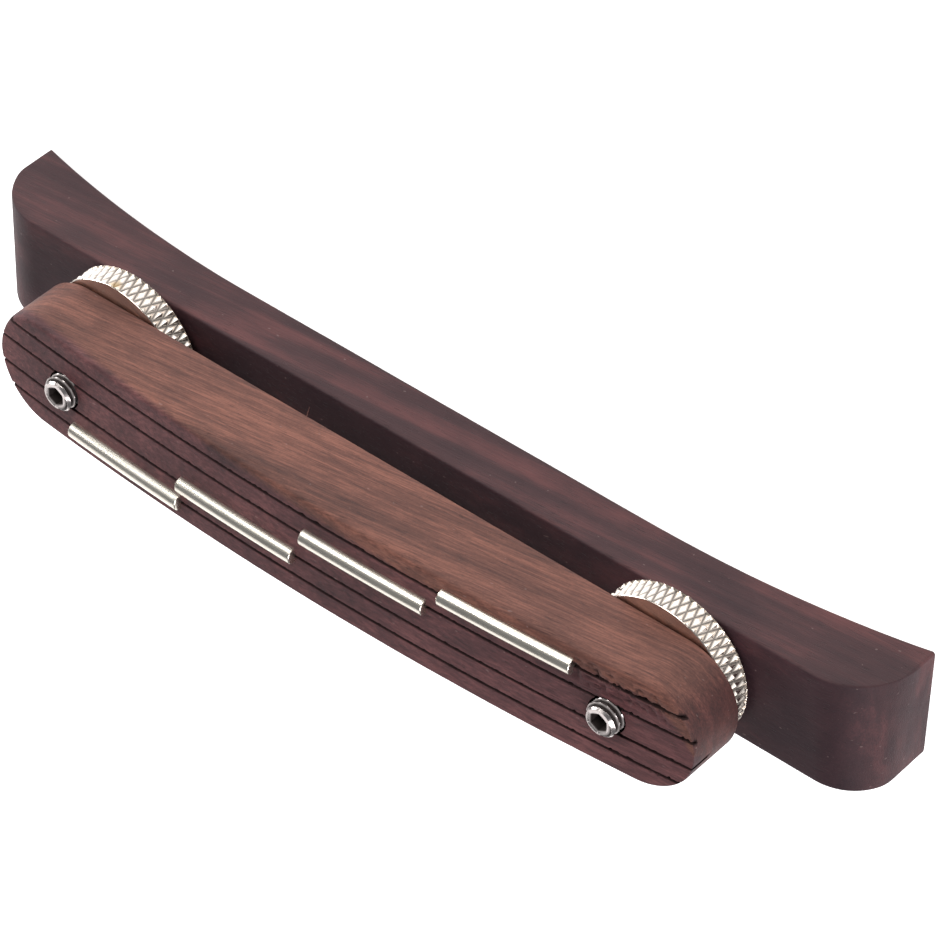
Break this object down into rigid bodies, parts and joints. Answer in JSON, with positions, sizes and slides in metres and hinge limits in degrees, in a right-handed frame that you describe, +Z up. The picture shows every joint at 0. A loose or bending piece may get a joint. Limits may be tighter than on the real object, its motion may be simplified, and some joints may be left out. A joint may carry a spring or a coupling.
{
  "type": "adjustable floating instrument bridge",
  "caption": "Two-piece wooden floating bridge: a saddle with staggered fret-wire string rests, raised on threaded studs by knurled thumbwheels above an arched base.",
  "frame": {"origin": "middle of the footprint, on the plane that the two foot ends stand on", "axes": "+X along the bridge, +Y towards the side that carries fret insert 4, +Z up to the strings"},
  "size_m": [0.1204, 0.018, 0.0254],
  "materials": {
    "base_wood": "dark rosewood, fine sanded and oiled",
    "saddle_wood": "rosewood, fine sanded and oiled",
    "insert_wire": "polished nickel silver",
    "stud_steel": "bright zinc-nickel plated steel",
    "wheel_nickel": "nickel plated brass, diamond knurled"
  },
  "bodies": {
    "base": {"base": "base_wood", "stud_left": "stud_steel", "stud_right": "stud_steel"},
    "saddle": {"saddle": "saddle_wood", "fret_insert_1": "insert_wire", "fret_insert_2": "insert_wire", "fret_insert_3": "insert_wire", "fret_insert_4": "insert_wire"},
    "thumbwheel_left": {"thumbwheel_left": "wheel_nickel"},
    "thumbwheel_right": {"thumbwheel_right": "wheel_nickel"}
  },
  "joints": [
    {"name": "saddle_height", "type": "slide", "parent": "base", "child": "saddle", "axis": [0, 0, 1], "range_m": [-0.00075, 0.006]},
    {"name": "thumbwheel_left_turn", "type": "hinge", "parent": "saddle", "child": "thumbwheel_left", "pos_m": [-0.037, 0, 0.013], "axis": [0, 0, 1], "range_deg": [-385, 3085]},
    {"name": "thumbwheel_right_turn", "type": "hinge", "parent": "saddle", "child": "thumbwheel_right", "pos_m": [0.037, 0, 0.013], "axis": [0, 0, 1], "range_deg": [-385, 3085]}
  ],
  "couplings": [
    {"joint": "saddle_height", "follows": "thumbwheel_left_turn", "m_per_rad": 0.00011141},
    {"joint": "thumbwheel_right_turn", "follows": "thumbwheel_left_turn", "ratio": 1}
  ]
}
